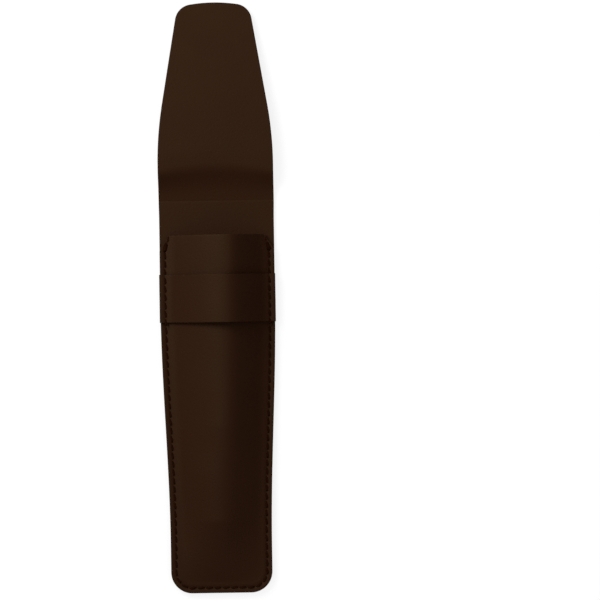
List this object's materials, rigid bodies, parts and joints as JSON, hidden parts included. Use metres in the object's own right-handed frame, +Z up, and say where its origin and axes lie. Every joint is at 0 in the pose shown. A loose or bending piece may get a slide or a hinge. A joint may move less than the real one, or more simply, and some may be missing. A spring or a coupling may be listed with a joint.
{
  "type": "pen sleeve",
  "caption": "Slim leatherette sleeve for one pen, with a domed pocket sewn to its back, a strap across the front, and a folding flap that closes over the mouth.",
  "frame": {"origin": "on the surface the open sleeve lies on, at the middle of its width and of its open length", "axes": "+Y along the sleeve from its foot to the flap's tip, +Z up from the surface it lies on through the front panel, +X to the right seen from above with the flap at the top"},
  "size_m": [0.0464, 0.2358, 0.0179],
  "materials": {
    "outer_leatherette": "very dark brown polyurethane leather, fine grain, soft low sheen",
    "lining_leatherette": "very dark brown polyurethane leather, fine grain, slightly more matte",
    "seam_thread": "twisted polyester sewing thread, dark brown"
  },
  "bodies": {
    "sleeve": {"back_outer_skin": "outer_leatherette", "back_lining": "lining_leatherette", "front_outer_skin": "outer_leatherette", "front_lining": "lining_leatherette", "strap_outer_skin": "outer_leatherette", "strap_lining": "lining_leatherette", "seam_needle_thread": "seam_thread", "seam_bobbin_thread": "seam_thread", "left_mouth_tack": "seam_thread", "right_mouth_tack": "seam_thread"},
    "fold": {"fold_outer_skin": "outer_leatherette", "fold_lining": "lining_leatherette"},
    "flap": {"flap_outer_skin": "outer_leatherette", "flap_lining": "lining_leatherette"}
  },
  "joints": [
    {"name": "fold_bend", "type": "hinge", "parent": "sleeve", "child": "fold", "pos_m": [0, 0.03875, 0.0012], "axis": [1, 0, 0], "range_deg": [0, 73]},
    {"name": "flap_bend", "type": "hinge", "parent": "fold", "child": "flap", "pos_m": [0, 0.0531, 0.00559], "axis": [1, 0, 0], "range_deg": [0, 106.1]}
  ],
  "couplings": [
    {"joint": "flap_bend", "follows": "fold_bend", "ratio": 1.452}
  ]
}
